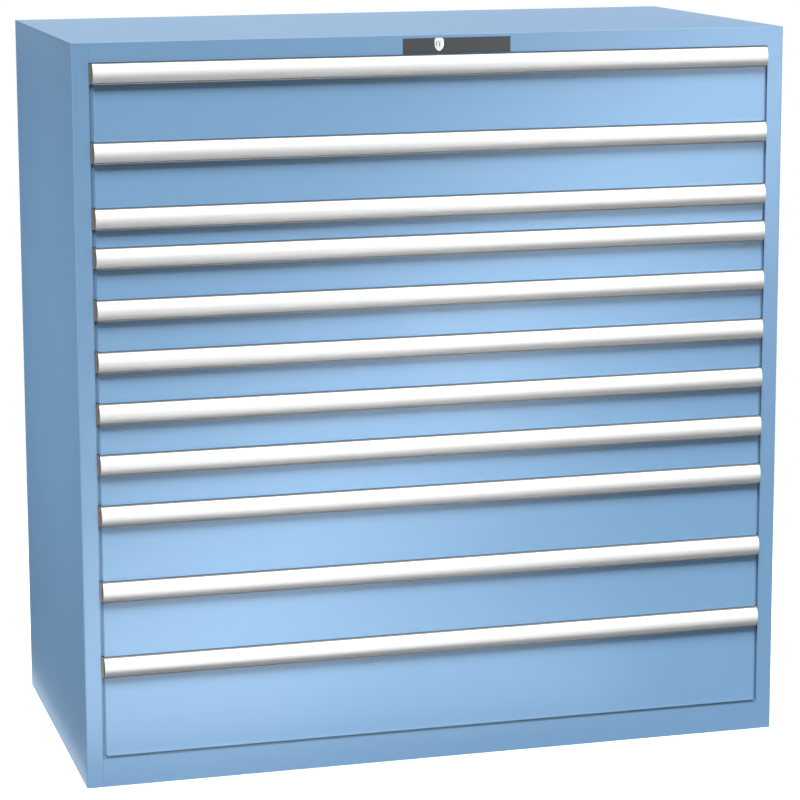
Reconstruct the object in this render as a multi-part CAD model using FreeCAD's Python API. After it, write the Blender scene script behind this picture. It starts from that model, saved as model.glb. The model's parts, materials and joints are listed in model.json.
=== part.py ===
import FreeCAD, Part
import math
import os

from FreeCAD import Vector

# Industrial drawer cabinet: a welded sheet housing with eleven full-width drawers on telescopic
# roller runners, aluminium handle strips and one central lock.
# Millimetres. X runs to the right, Y to the back, Z up. The origin is under the middle of the
# whole object, on the floor.

# Drawer grid: inside sizes are whole modules, and front heights are whole steps
module = 17.0
modules_wide = 78
modules_deep = 36
front_step = 25.0
front_steps = (6, 5, 3, 4, 4, 4, 4, 4, 6, 6, 8)  # from the top drawer down

# Housing
sheet = 2.0
back_sheet = 1.5
post_width = 32.5
post_depth = 38.0
post_lip = 12.0
corner_radius = 3.0
sill_height = 56.0
header_height = 37.0
header_return = 18.0
foot_flange = 30.0
rear_flange = 20.0
rear_room = 88.0  # behind the trays, to the housing's back

# Floor bolts, and the square openings above them that a socket reaches through
bolt_radius = 5.5
bolt_reach = 24.0
bolt_inset_x = 40.0
bolt_inset_y = 17.0

# Gaps round the fronts
sill_gap = 6.5
header_gap = 0.5
front_gap = 0.5  # above and below each front
side_gap = 7.0

# Fronts
front_sheet = 1.5
front_depth = 22.0
front_bend = 6.0
lip_height = 8.0
lip_flare = 2.0
front_flange = 5.5  # turned out at each side, to close the gap to the post
flange_recess = 6.0  # of that flange, and of the sill's upstand, behind the fronts' faces

# Handle strip: its face is one arc through the top edge, the bulge and the lower edge
handle_height = 39.5
handle_top_reach = 7.0
handle_bulge = 16.0
handle_bulge_drop = 18.0
handle_foot_reach = 7.0
handle_wall = 1.8
handle_lip = 1.8
label_sheet = 1.2
cap_thickness = 2.0
cap_play = 0.2  # between a cap's rim and the label over it
shelf_drop = 34.0  # from the handle's top down to the shelf that its back wall stands on

# Trays
tray_sheet = 1.5
tray_lift = 7.0  # under the tray, from the bottom of its front's share of the stack
tray_headroom = 18.0  # over the tray's walls, to the top of that share
tray_lip = 6.0
running_space = 18.5  # from a tray's side to the edge of the opening

# Runners: cabinet rail, middle rail and drawer rail, one inside the other
rail_sheet = 1.5
rail_lift = 26.0  # height of a runner's centre line in its drawer's share of the stack
channel_clear = 32.0  # between the flanges of the cabinet rail and of the drawer rail
drawer_rail_depth = 8.0
cabinet_rail_depth = 9.5
middle_height = 26.0
middle_flange = 2.0
middle_web = 2.5
middle_width = 14.0
middle_clearance = 1.0  # from the middle rail to the edge of the opening
roller_play = 0.3
roller_side_play = 0.8
roller_inset = 17.0  # from a rail's end to its roller's centre
round_sides = 10  # flats round the rollers and the lock's pins, which keep the whole stack light
drawer_rail_start = 24.0
middle_start = 27.0
middle_length = 620.0
cabinet_rail_start = 44.0
cabinet_rail_length = 646.0

# Uprights that carry the cabinet rails
upright_sheet = 1.5
upright_width = 30.0
upright_starts = (62.0, 600.0)  # from the housing's front

# Lock, in the header
lock_cover_left = 72.0
lock_cover_right = 145.0
lock_cover_sheet = 1.2
lock_cover_top = 6.0  # below the housing's top
lock_cover_height = 28.5
shield_width = 18.5
shield_height = 25.0
shield_sheet = 1.6
shield_corner = 3.0
lock_drop = 18.5  # of the lock's axis below the housing's top
plug_radius = 5.6
plug_proud = 1.4
keyway_width = 2.0
keyway_height = 7.0
keyway_depth = 6.0
cam_width = 10.0
barrel_radius = 8.0
barrel_length = 34.0
clip_width = 26.0
clip_thickness = 2.0
fit_play = 0.4

# Lock linkage: a quarter turn moves the rod along X and the bar down by lock_travel
lock_travel = 12.0
cam_thickness = 3.0
cam_pin_radius = 2.5
cam_pin_play = 0.7
rod_start = 44.0  # from the housing's front
rod_thickness = 3.0
rod_height = 16.0
rod_tail = 14.0
rod_margin = 5.5
bar_start = 41.0
bar_width = 16.0
bar_thickness = 3.0
bar_inset = 3.0  # from the cabinet rails' backs
bar_pin_radius = 3.0
pin_margin = 2.0  # round the bar's pin, and at the ends of the slots
hook_reach = 13.5
hook_height = 10.0
hook_width = 12.0
hook_play = 2.0
lug_start = 59.0
lug_width = 12.0
lug_height = 9.0
lug_reach = 16.5
guide_play = 0.7
guide_lip = 1.8
guide_height = 14.0
guide_drawers = (2, 7, 11)  # numbers of the drawers beside whose hooks the bar is guided
rod_guides_x = (180.0, 430.0)
rod_guide_length = 15.0

# Derived places
inside_width = module * modules_wide
inside_depth = module * modules_deep
tray_half = inside_width / 2 + tray_sheet
opening_half = tray_half + running_space
half_width = opening_half + post_width
front_half = opening_half - side_gap
front_heights = [front_step * steps for steps in front_steps]
stack_bottom = sill_height + sill_gap
stack_top = stack_bottom + sum(front_heights)
height = stack_top + header_gap + header_height
housing_depth = front_depth + 2 * tray_sheet + inside_depth + rear_room
y_front = -(housing_depth - handle_bulge) / 2
y_back = y_front + housing_depth
y_tray = y_front + front_depth
y_tray_end = y_tray + inside_depth + 2 * tray_sheet
middle_outer = opening_half - middle_clearance
middle_inner = middle_outer - middle_width
web_centre = (middle_outer + middle_inner) / 2
web_outer = web_centre + middle_web / 2
web_inner = web_centre - middle_web / 2
rail_back = web_outer + cabinet_rail_depth + fit_play
upright_outer = half_width - sheet
channel_roller = channel_clear / 2 - roller_play
flange_roller = middle_height / 2 - middle_flange - roller_play
lock_z = height - lock_drop
cam_radius = lock_travel / math.sqrt(2)
bar_x = rail_back + bar_inset


def box(x0, x1, y0, y1, z0, z1):
    return Part.makeBox(x1 - x0, y1 - y0, z1 - z0, Vector(x0, y0, z0))


def face_of(path):
    # path lists points, or (middle, end) pairs for arcs, and closes itself
    edges = []
    here = path[0]
    for step in path[1:] + [path[0]]:
        if isinstance(step, tuple):
            edges.append(Part.Arc(here, step[0], step[1]).toShape())
            here = step[1]
        elif not step.isEqual(here, 1e-6):
            edges.append(Part.makeLine(here, step))
            here = step
    return Part.Face(Part.Wire(edges))


def prism_x(path, x0, x1):
    # path in Y and Z
    return face_of(path).extrude(Vector(x1 - x0, 0, 0)).translated(Vector(x0, 0, 0))


def prism_y(corners, y0, y1):
    # corners in X and Z
    face = face_of([Vector(x, y0, z) for x, z in corners])
    return face.extrude(Vector(0, y1 - y0, 0))


def prism_z(corners, z0, z1):
    # corners in X and Y
    face = face_of([Vector(x, y, z0) for x, y in corners])
    return face.extrude(Vector(0, 0, z1 - z0))


def cylinder_y(radius, x, y0, y1, z):
    return Part.makeCylinder(radius, y1 - y0, Vector(x, y0, z), Vector(0, 1, 0))


def cylinder_z(radius, x, y, z0, z1):
    return Part.makeCylinder(radius, z1 - z0, Vector(x, y, z0), Vector(0, 0, 1))


def flat_reach(radius):
    # from the middle of a flatted section to its corners
    return radius / math.cos(math.pi / round_sides)


def flatted(radius, u, v):
    # corners of a round section drawn with flats, one of them at the top and one at the bottom
    reach = flat_reach(radius)
    angles = [math.pi * (2 * side + 1) / round_sides for side in range(round_sides)]
    return [(u + reach * math.sin(angle), v + reach * math.cos(angle)) for angle in angles]


def roller(radius, x0, x1, y, z):
    return prism_x([Vector(0, u, v) for u, v in flatted(radius, y, z)], x0, x1)


def pin_y(radius, x, y0, y1, z):
    return prism_y(flatted(radius, x, z), y0, y1)


def joined(first, *others):
    return first.fuse(list(others)).removeSplitter()


def mirrored(shape):
    return shape.mirror(Vector(0, 0, 0), Vector(1, 0, 0))


def edges_at(shape, inside):
    return [edge for edge in shape.Edges if inside(edge.CenterOfMass, edge.tangentAt(edge.FirstParameter))]


def save(node, *solids):
    shape = solids[0] if len(solids) == 1 else Part.makeCompound(list(solids))
    shape.exportStep("parts/" + node + ".step")


def side_panel():
    # the right side: plate, folded front post, rear flange and foot, from one sheet
    x_in = half_width - sheet
    post_back = y_front + post_depth
    flange_y = y_back - back_sheet
    outline = [
        (half_width, y_front),
        (half_width, y_back),
        (x_in, y_back),
        (x_in, flange_y),
        (half_width - rear_flange, flange_y),
        (half_width - rear_flange, flange_y - sheet),
        (x_in, flange_y - sheet),
        (x_in, y_front + sheet),
        (opening_half + sheet, y_front + sheet),
        (opening_half + sheet, post_back - sheet),
        (opening_half + post_lip, post_back - sheet),
        (opening_half + post_lip, post_back),
        (opening_half, post_back),
        (opening_half, y_front),
    ]
    plate = prism_z(outline, 0, height - sheet)
    corner = edges_at(plate, lambda c, t: abs(t.z) > 0.9 and c.x > half_width - 0.1 and c.y < y_front + 0.1)
    plate = plate.makeFillet(corner_radius, corner)
    foot = box(opening_half, x_in, post_back, flange_y - sheet, 0, sheet)
    return joined(plate, foot)


def top_panel():
    # the cover plate, whose front folds down as the header and back as a stiffening return
    plate = box(-half_width, half_width, y_front, y_back, height - sheet, height)
    corners = edges_at(plate, lambda c, t: abs(t.z) > 0.9 and c.y < y_front + 0.1)
    plate = plate.makeFillet(corner_radius, corners)
    header_z = height - header_height
    header = box(-opening_half, opening_half, y_front, y_front + sheet, header_z, height - sheet)
    back = box(-opening_half, opening_half, y_front, y_front + header_return, header_z, header_z + sheet)
    hole = pin_y(barrel_radius + fit_play, 0, y_front - sheet, y_front + 2 * sheet, lock_z)
    return joined(plate, header, back).cut(hole)


def base_panel():
    # sill with its upstand behind the gap, floor plate and rear wall, with feet turned in along the floor
    post_back = y_front + post_depth
    rear = y_back - back_sheet - sheet
    x_in = half_width - sheet
    sill = box(-opening_half, opening_half, y_front, y_front + sheet, 0, sill_height)
    tongue = box(-opening_half, opening_half, y_front, post_back, sill_height - sheet, sill_height)
    upstand_y = y_front + flange_recess
    upstand = box(-opening_half, opening_half, upstand_y, upstand_y + sheet, sill_height - sheet, stack_bottom)
    plate = box(-x_in, x_in, post_back, rear, sill_height - sheet, sill_height)
    wall = box(-opening_half, opening_half, rear - sheet, rear, 0, sill_height)
    front_foot = box(-opening_half, opening_half, y_front, y_front + foot_flange, 0, sheet)
    rear_foot = box(-opening_half, opening_half, rear - foot_flange, rear, 0, sheet)
    panel = joined(sill, tongue, upstand, plate, wall, front_foot, rear_foot)
    for x in (-1, 1):
        for y in (y_front + bolt_inset_y, rear - bolt_inset_y):
            at = x * (opening_half - bolt_inset_x)
            panel = panel.cut(cylinder_z(bolt_radius, at, y, -1, 2 * sheet))
            half = bolt_reach / 2
            reach = box(at - half, at + half, y - half, y + half, sill_height - 2 * sheet, sill_height + 1)
            panel = panel.cut(reach)
    return panel


def back_panel():
    x_in = half_width - sheet
    return box(-x_in, x_in, y_back - back_sheet, y_back, 0, height - sheet)


def upright(start):
    # a channel, open to the side plate it is welded to
    y0 = y_front + start
    y1 = y0 + upright_width
    outline = [
        (rail_back, y0),
        (upright_outer, y0),
        (upright_outer, y0 + upright_sheet),
        (rail_back + upright_sheet, y0 + upright_sheet),
        (rail_back + upright_sheet, y1 - upright_sheet),
        (upright_outer, y1 - upright_sheet),
        (upright_outer, y1),
        (rail_back, y1),
    ]
    return prism_z(outline, sill_height, height - sheet)


def channel(x_web, x_mouth, z, y0, y1):
    # a C of rail sheet from its web at x_web to its mouth at x_mouth
    low = z - channel_clear / 2
    high = z + channel_clear / 2
    inner = x_web + math.copysign(rail_sheet, x_mouth - x_web)
    corners = [
        (x_web, low - rail_sheet),
        (x_mouth, low - rail_sheet),
        (x_mouth, low),
        (inner, low),
        (inner, high),
        (x_mouth, high),
        (x_mouth, high + rail_sheet),
        (x_web, high + rail_sheet),
    ]
    return prism_y(corners, y0, y1)


def cabinet_rail(z):
    # fixed rail on the right, and the roller at its front that the middle rail runs over
    y0 = y_front + cabinet_rail_start
    rail = channel(rail_back, rail_back - cabinet_rail_depth, z, y0, y0 + cabinet_rail_length)
    x_roller = rail_back - rail_sheet
    return [rail, roller(flange_roller, web_outer + roller_side_play, x_roller, y0 + roller_inset, z)]


def middle_rail(z):
    # an I section, with a roller outside at its back and one inside at its front
    y0 = y_front + middle_start
    y1 = y0 + middle_length
    half = middle_height / 2
    inner = half - middle_flange
    corners = [
        (middle_inner, z - half),
        (middle_outer, z - half),
        (middle_outer, z - inner),
        (web_outer, z - inner),
        (web_outer, z + inner),
        (middle_outer, z + inner),
        (middle_outer, z + half),
        (middle_inner, z + half),
        (middle_inner, z + inner),
        (web_inner, z + inner),
        (web_inner, z - inner),
        (middle_inner, z - inner),
    ]
    rail = prism_y(corners, y0, y1)
    room = 2 * roller_inset
    front_cut = box(middle_inner - 1, web_inner, y0 - 1, y0 + room, z - half - 1, z + half + 1)
    rear_cut = box(web_outer, middle_outer + 1, y1 - room, y1 + 1, z - half - 1, z + half + 1)
    rail = rail.cut(front_cut).cut(rear_cut)
    drawer_web = tray_half + rail_sheet
    front = roller(channel_roller, drawer_web + roller_side_play, web_inner, y0 + roller_inset, z)
    cabinet_web = rail_back - rail_sheet
    rear = roller(channel_roller, web_outer, cabinet_web - roller_side_play, y1 - roller_inset, z)
    return [rail, front, rear]


def drawer_rail(z):
    # the rail on a tray's right side, and the roller at its back that runs in the middle rail
    rail = channel(tray_half, tray_half + drawer_rail_depth, z, y_front + drawer_rail_start, y_tray_end)
    x_web = tray_half + rail_sheet
    return [rail, roller(flange_roller, x_web, web_inner - roller_side_play, y_tray_end - roller_inset, z)]


def tray(z0, front_height):
    # one folded sheet: floor, two lipped sides, front and back walls
    low = z0 + tray_lift
    high = z0 + front_height - tray_headroom
    floor = low + tray_sheet
    inside = inside_width / 2
    lip = tray_half + tray_lip
    corners = [
        (-tray_half, low),
        (tray_half, low),
        (tray_half, high - tray_sheet),
        (lip, high - tray_sheet),
        (lip, high),
        (inside, high),
        (inside, floor),
        (-inside, floor),
        (-inside, high),
        (-lip, high),
        (-lip, high - tray_sheet),
        (-tray_half, high - tray_sheet),
    ]
    trough = prism_y(corners, y_tray, y_tray_end)
    front = box(-inside, inside, y_tray, y_tray + tray_sheet, floor, high)
    back = box(-inside, inside, y_tray_end - tray_sheet, y_tray_end, floor, high)
    return joined(trough, front, back)


def lock_lug(z0):
    # the catch on a tray's right side that a hook of the lock bar stops
    low = z0 + rail_lift + channel_clear / 2 + 2 * rail_sheet
    y0 = y_front + lug_start
    return box(tray_half, tray_half + lug_reach, y0, y0 + lug_width, low, low + lug_height)


def front_panel(z0, front_height):
    # face with a flared lower lip, a shelf and a recessed wall behind the handle, side returns and flanges
    low = z0 + front_gap
    shelf = z0 + front_height - front_gap - shelf_drop
    top = z0 + front_height - front_gap
    t = front_sheet
    bend = front_bend
    cos45 = math.cos(math.radians(45))
    centre = Vector(0, y_front + bend, shelf - bend)
    outer_mid = centre + Vector(0, -bend * cos45, bend * cos45)
    inner_mid = centre + Vector(0, -(bend - t) * cos45, (bend - t) * cos45)
    path = [
        Vector(0, y_front - lip_flare, low),
        Vector(0, y_front, low + lip_height),
        Vector(0, y_front, shelf - bend),
        outer_mid,
        Vector(0, y_front + bend, shelf),
        Vector(0, y_tray - t, shelf),
        Vector(0, y_tray - t, top),
        Vector(0, y_tray, top),
        Vector(0, y_tray, shelf - t),
        Vector(0, y_front + bend, shelf - t),
        inner_mid,
        Vector(0, y_front + t, shelf - bend),
        Vector(0, y_front + t, low + lip_height),
        Vector(0, y_front - lip_flare + t, low + t),
        Vector(0, y_tray, low + t),
        Vector(0, y_tray, low),
    ]
    skin = prism_x(path, -front_half, front_half)
    side_path = [
        Vector(0, y_front, low),
        Vector(0, y_front, shelf - bend),
        outer_mid,
        Vector(0, y_front + bend, shelf),
        Vector(0, y_tray, shelf),
        Vector(0, y_tray, low),
    ]
    right = prism_x(side_path, front_half - t, front_half)
    flange_y = y_front + flange_recess
    flange_top = top - handle_height - front_gap
    flange = box(front_half, front_half + front_flange, flange_y, flange_y + t, low, flange_top)
    return joined(skin, right, flange, mirrored(right), mirrored(flange))


def handle_arc(top):
    # the circle of a handle's face, and the angles of its upper and lower ends
    a = Vector(0, y_front - handle_top_reach, top)
    b = Vector(0, y_front - handle_bulge, top - handle_bulge_drop)
    c = Vector(0, y_front - handle_foot_reach, top - handle_height)
    arc = Part.Arc(a, b, c).toShape().Curve
    centre = arc.Center
    start = math.atan2(a.z - centre.z, a.y - centre.y)
    end = math.atan2(c.z - centre.z, c.y - centre.y) + 2 * math.pi
    return centre, arc.Radius, start, end


def on_circle(centre, radius, angle):
    return centre + Vector(0, radius * math.cos(angle), radius * math.sin(angle))


def swept(centre, radius, start, end):
    # an arc step of a path, from the point at start to the point at end
    return (on_circle(centre, radius, (start + end) / 2), on_circle(centre, radius, end))


def handle_strip(top):
    # extruded profile: curved face with two lips for the label, top wall and back wall
    centre, radius, start, end = handle_arc(top)
    lip = handle_lip / radius
    seat = radius - label_sheet
    inner = seat - handle_wall
    back = y_tray - front_sheet
    under = top - handle_wall
    meet = math.pi - math.asin((under - centre.z) / inner)
    path = [
        Vector(0, back, top),
        on_circle(centre, radius, start),
        swept(centre, radius, start, start + lip),
        on_circle(centre, seat, start + lip),
        swept(centre, seat, start + lip, end - lip),
        on_circle(centre, radius, end - lip),
        swept(centre, radius, end - lip, end),
        on_circle(centre, inner, end),
        swept(centre, inner, end, meet),
        Vector(0, back - handle_wall, under),
        Vector(0, back - handle_wall, top - shelf_drop),
        Vector(0, back, top - shelf_drop),
    ]
    return prism_x(path, -front_half, front_half)


def label_strip(top):
    # runs on over the end caps
    centre, radius, start, end = handle_arc(top)
    lip = handle_lip / radius
    seat = radius - label_sheet
    path = [
        on_circle(centre, radius, start + lip),
        swept(centre, radius, start + lip, end - lip),
        on_circle(centre, seat, end - lip),
        swept(centre, seat, end - lip, start + lip),
    ]
    reach = front_half + cap_thickness
    return prism_x(path, -reach, reach)


def handle_cap(top):
    # closes the right end of the handle, from the label's back to the front's recessed wall
    centre, radius, start, end = handle_arc(top)
    rim = radius - label_sheet - cap_play
    back = y_tray - front_sheet
    foot = on_circle(centre, rim, end)
    path = [
        Vector(0, back, top),
        Vector(0, centre.y, top),
        on_circle(centre, rim, start),
        swept(centre, rim, start, end),
        Vector(0, back, foot.z),
    ]
    return prism_x(path, front_half, front_half + cap_thickness)


def both_sides(solids):
    return solids + [mirrored(solid) for solid in solids]


def lock_cover():
    top = height - lock_cover_top
    y0 = y_front - lock_cover_sheet
    plate = box(-lock_cover_left, lock_cover_right, y0, y_front, top - lock_cover_height, top)
    return plate.cut(pin_y(barrel_radius + fit_play, 0, y0 - 1, y_front + 1, lock_z))


def shield():
    # escutcheon: straight top with rounded corners, sides drawn in to a round foot
    y1 = y_front - lock_cover_sheet
    y0 = y1 - shield_sheet
    half = shield_width / 2
    top = height - lock_cover_top
    low = top - shield_height
    waist = top - shield_height / 2
    corner = shield_corner
    path = [
        Vector(-half + corner, y1, top),
        Vector(half - corner, y1, top),
        Vector(half, y1, top - corner),
        Vector(half, y1, waist),
        (Vector(half * 0.75, y1, low + half * 0.55), Vector(0, y1, low)),
        (Vector(-half * 0.75, y1, low + half * 0.55), Vector(-half, y1, waist)),
        Vector(-half, y1, top - corner),
    ]
    plate = face_of(path).extrude(Vector(0, y0 - y1, 0))
    return plate.cut(cylinder_y(plug_radius + fit_play, 0, y0 - 1, y1 + 1, lock_z))


def lock_barrel():
    # barrel behind the shield, and the forked clip that holds it against the header's back
    y0 = y_front - lock_cover_sheet
    y1 = y0 + barrel_length
    bore = cylinder_y(plug_radius + fit_play, 0, y0 - 1, y1 + 1, lock_z)
    barrel = pin_y(barrel_radius, 0, y0, y1, lock_z).cut(bore)
    half = clip_width / 2
    reach = flat_reach(barrel_radius)
    clip_y = y_front + sheet
    corners = [
        (-half, lock_z + half),
        (-half, lock_z - half),
        (-reach, lock_z - half),
        (-reach, lock_z + barrel_radius),
        (reach, lock_z + barrel_radius),
        (reach, lock_z - half),
        (half, lock_z - half),
        (half, lock_z + half),
    ]
    return [barrel, prism_y(corners, clip_y, clip_y + clip_thickness)]


def cam_pin():
    # X and Z of the cam's pin with the lock open: an eighth of a turn short of straight down
    side = cam_radius * math.sin(math.radians(45))
    return -side, lock_z - side


def lock_plug():
    # turning plug with its keyway, and behind it the cam and the cam's pin
    y0 = y_front - lock_cover_sheet - shield_sheet - plug_proud
    cam_y = y_front + rod_start - cam_thickness - fit_play
    plug = cylinder_y(plug_radius, 0, y0, cam_y, lock_z)
    half = keyway_width / 2
    tall = keyway_height / 2
    keyway = box(-half, half, y0 - 1, y0 + keyway_depth, lock_z - tall, lock_z + tall)
    cam = box(-cam_width / 2, cam_width / 2, cam_y, cam_y + cam_thickness, -cam_radius - cam_width / 2, cam_width / 2)
    cam = cam.rotated(Vector(0, 0, 0), Vector(0, 1, 0), 45).translated(Vector(0, 0, lock_z))
    x, z = cam_pin()
    pin = pin_y(cam_pin_radius, x, cam_y, y_front + rod_start + rod_thickness + 1, z)
    return joined(plug.cut(keyway), cam, pin)


def rod_centre():
    # height of the rod, with the cam's pin in the middle of its slot
    return lock_z - cam_radius * (1 + math.cos(math.radians(45))) / 2


def ramp_ends():
    # ends of the ramp's middle line: where the bar's pin lies unlocked, and where it lies locked
    up = Vector(bar_x + bar_thickness / 2, 0, rod_centre())
    return up, up - Vector(lock_travel, 0, lock_travel)


def ramp(half_wide, past):
    # a band round the ramp's middle line, drawn out past both ends
    up, down = ramp_ends()
    along = Vector(1, 0, 1).normalize()
    across = Vector(1, 0, -1).normalize()
    a = up + along * past
    b = down - along * past
    corners = [a + across * half_wide, a - across * half_wide, b - across * half_wide, b + across * half_wide]
    return [(corner.x, corner.z) for corner in corners]


def lock_rod():
    # flat rod: an upright slot for the cam's pin at its left end, a sloping slot at its right end
    y0 = y_front + rod_start
    y1 = y0 + rod_thickness
    pin_x = cam_pin()[0]
    z = rod_centre()
    up, down = ramp_ends()
    strip = box(pin_x - rod_tail, up.x + rod_margin, y0, y1, z - rod_height / 2, z + rod_height / 2)
    slot_half = cam_pin_radius + cam_pin_play
    slot_tall = cam_radius * (1 - math.cos(math.radians(45))) / 2 + cam_pin_radius + pin_margin / 2
    slot = box(pin_x - slot_half, pin_x + slot_half, y0 - 1, y1 + 1, z - slot_tall, z + slot_tall)
    reach = bar_pin_radius + fit_play
    plate = box(down.x - reach - rod_margin, up.x + rod_margin, y0, y1, down.z - reach - rod_margin, z)
    track = prism_y(ramp(reach, reach + 1), y0 - 1, y1 + 1)
    return joined(strip, plate).cut(slot).cut(track)


def hook_low(z0):
    # underside of a hook, with the lock open
    return z0 + rail_lift + channel_clear / 2 + 2 * rail_sheet + lock_travel


def lock_bar():
    # upright bar with a hook over each drawer's lug, and a head whose pin rides in the rod's ramp
    up, down = ramp_ends()
    x1 = bar_x + bar_thickness
    y0 = y_front + bar_start
    y1 = y0 + bar_width
    low = drawer_bottoms[-1] + rail_lift
    neck = down.z - bar_pin_radius - 2 * rod_margin
    strip = box(bar_x, x1, y0, y1, low, neck)
    head_y = y_front + rod_start + rod_thickness + 2 * fit_play
    head = box(bar_x, x1, head_y, y1, neck, up.z + bar_pin_radius + pin_margin)
    pin = pin_y(bar_pin_radius, up.x, y_front + rod_start - 1, head_y + bar_thickness, up.z)
    boss = pin_y(bar_pin_radius + pin_margin, up.x, head_y, head_y + bar_thickness, up.z)
    solids = [joined(strip, head, boss, pin)]
    hook_y = y_front + lug_start - hook_play - hook_width
    for z0 in drawer_bottoms:
        z = hook_low(z0)
        solids.append(box(bar_x - hook_reach, bar_x, hook_y, hook_y + hook_width, z, z + hook_height))
    return solids


def lock_guides():
    # blocks on the side plate that keep the bar upright, and clips under the top that carry the rod
    solids = []
    x0 = bar_x + bar_thickness + guide_play
    y0 = y_front + bar_start - guide_play
    y1 = y0 + bar_width + 2 * guide_play
    for number, z0 in enumerate(drawer_bottoms, 1):
        if number not in guide_drawers:
            continue
        z = hook_low(z0) - lock_travel - guide_height
        outline = [
            (upright_outer, y0 - guide_lip),
            (upright_outer, y1 + guide_lip),
            (bar_x, y1 + guide_lip),
            (bar_x, y1),
            (x0, y1),
            (x0, y0),
            (bar_x, y0),
            (bar_x, y0 - guide_lip),
        ]
        solids.append(prism_z(outline, z, z + guide_height))
    z = rod_centre()
    rod_y0 = y_front + rod_start - guide_play
    rod_y1 = rod_y0 + rod_thickness + 2 * guide_play
    over = z + rod_height / 2 + guide_play
    low = z - rod_height / 2
    for x in rod_guides_x:
        path = [
            Vector(0, rod_y0 - guide_lip, low),
            Vector(0, rod_y0, low),
            Vector(0, rod_y0, over),
            Vector(0, rod_y1, over),
            Vector(0, rod_y1, low),
            Vector(0, rod_y1 + guide_lip, low),
            Vector(0, rod_y1 + guide_lip, height - sheet),
            Vector(0, rod_y0 - guide_lip, height - sheet),
        ]
        solids.append(prism_x(path, x, x + rod_guide_length))
    return solids


# Bottom of each drawer's share of the stack, from the top drawer down
drawer_bottoms = []
level = stack_top
for front_height in front_heights:
    level -= front_height
    drawer_bottoms.append(level)

os.makedirs("parts", exist_ok=True)

right_side = side_panel()
save("side_panel_right", right_side)
save("side_panel_left", mirrored(right_side))
save("top_panel", top_panel())
save("base_panel", base_panel())
save("back_panel", back_panel())

uprights = [upright(start) for start in upright_starts]
save("uprights_right", *uprights)
save("uprights_left", *[mirrored(solid) for solid in uprights])

cabinet_rails = []
for z0 in drawer_bottoms:
    cabinet_rails += cabinet_rail(z0 + rail_lift)
save("cabinet_rails_right", *cabinet_rails)
save("cabinet_rails_left", *[mirrored(solid) for solid in cabinet_rails])

for number, (z0, front_height) in enumerate(zip(drawer_bottoms, front_heights), 1):
    name = "_%02d" % number
    top = z0 + front_height - front_gap
    save("drawer_front" + name, front_panel(z0, front_height))
    save("drawer_tray" + name, tray(z0, front_height), lock_lug(z0), *both_sides(drawer_rail(z0 + rail_lift)))
    save("drawer_handle" + name, handle_strip(top), label_strip(top), *both_sides([handle_cap(top)]))
    save("runner_middle" + name, *both_sides(middle_rail(z0 + rail_lift)))

save("lock_cover", lock_cover())
save("lock_shield", shield())
save("lock_barrel", *lock_barrel())
save("lock_plug", lock_plug())
save("lock_rod", lock_rod())
save("lock_bar", *lock_bar())
save("lock_guides", *lock_guides())
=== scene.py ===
import json
import math

import bpy
from mathutils import Matrix, Vector

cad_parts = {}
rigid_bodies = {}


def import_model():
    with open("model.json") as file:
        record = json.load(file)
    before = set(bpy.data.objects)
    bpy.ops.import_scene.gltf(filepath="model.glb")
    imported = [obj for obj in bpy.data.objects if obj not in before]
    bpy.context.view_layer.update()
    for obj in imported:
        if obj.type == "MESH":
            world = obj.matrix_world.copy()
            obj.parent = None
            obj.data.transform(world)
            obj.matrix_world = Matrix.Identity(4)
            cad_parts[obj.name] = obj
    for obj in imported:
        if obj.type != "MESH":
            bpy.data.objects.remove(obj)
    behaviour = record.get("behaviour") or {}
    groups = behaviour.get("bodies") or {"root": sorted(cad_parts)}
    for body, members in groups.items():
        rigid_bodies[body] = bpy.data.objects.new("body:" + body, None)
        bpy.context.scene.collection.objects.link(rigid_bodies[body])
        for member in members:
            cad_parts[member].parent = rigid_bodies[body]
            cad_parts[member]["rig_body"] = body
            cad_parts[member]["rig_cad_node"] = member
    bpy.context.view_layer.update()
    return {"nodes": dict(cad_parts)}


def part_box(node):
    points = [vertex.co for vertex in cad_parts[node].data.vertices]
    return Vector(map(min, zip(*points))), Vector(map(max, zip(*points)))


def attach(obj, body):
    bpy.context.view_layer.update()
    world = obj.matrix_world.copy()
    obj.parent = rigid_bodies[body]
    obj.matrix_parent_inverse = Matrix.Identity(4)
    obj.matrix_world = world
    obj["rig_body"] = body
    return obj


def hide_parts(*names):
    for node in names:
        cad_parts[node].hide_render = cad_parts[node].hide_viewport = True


# Drawer cabinet in light blue powder-coated steel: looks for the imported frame, in metres
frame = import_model()
nodes = frame["nodes"]
print("frame loaded with", len(nodes), "nodes")

mm = 0.001
touching = 0.01 * mm
postWidth = 32.5 * mm
capWidth = 2 * mm
frontGap = 0.5 * mm
drawers = ["%02d" % number for number in range(1, 12)]

# Places read from the frame

frontLow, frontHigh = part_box("drawer_front_01")
topLow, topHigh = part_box("top_panel")
runnerLow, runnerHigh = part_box("runner_middle_01")
uprightLow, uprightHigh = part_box("uprights_right")
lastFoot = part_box("drawer_front_11")[0].z
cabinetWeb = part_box("cabinet_rails_right")[1].x

housingFront = topLow.y
trayFront = frontHigh.y
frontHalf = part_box("drawer_handle_01")[1].x - capWidth
frameHalf = topHigh.x
openingHalf = frameHalf - postWidth


# Modelling helpers

def clearSelection():
    if bpy.context.object and bpy.context.object.mode != "OBJECT":
        bpy.ops.object.mode_set(mode="OBJECT")
    bpy.ops.object.select_all(action="DESELECT")


def activate(piece):
    clearSelection()
    piece.hide_viewport = False
    piece.select_set(True)
    bpy.context.view_layer.objects.active = piece
    return piece


def applyPlace(piece):
    activate(piece)
    bpy.ops.object.transform_apply(location=True, rotation=True, scale=True)
    return piece


def editing(piece):
    activate(piece)
    bpy.ops.object.mode_set(mode="EDIT")
    bpy.ops.mesh.select_all(action="DESELECT")


def leaveEditing():
    bpy.ops.object.mode_set(mode="OBJECT")


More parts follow.
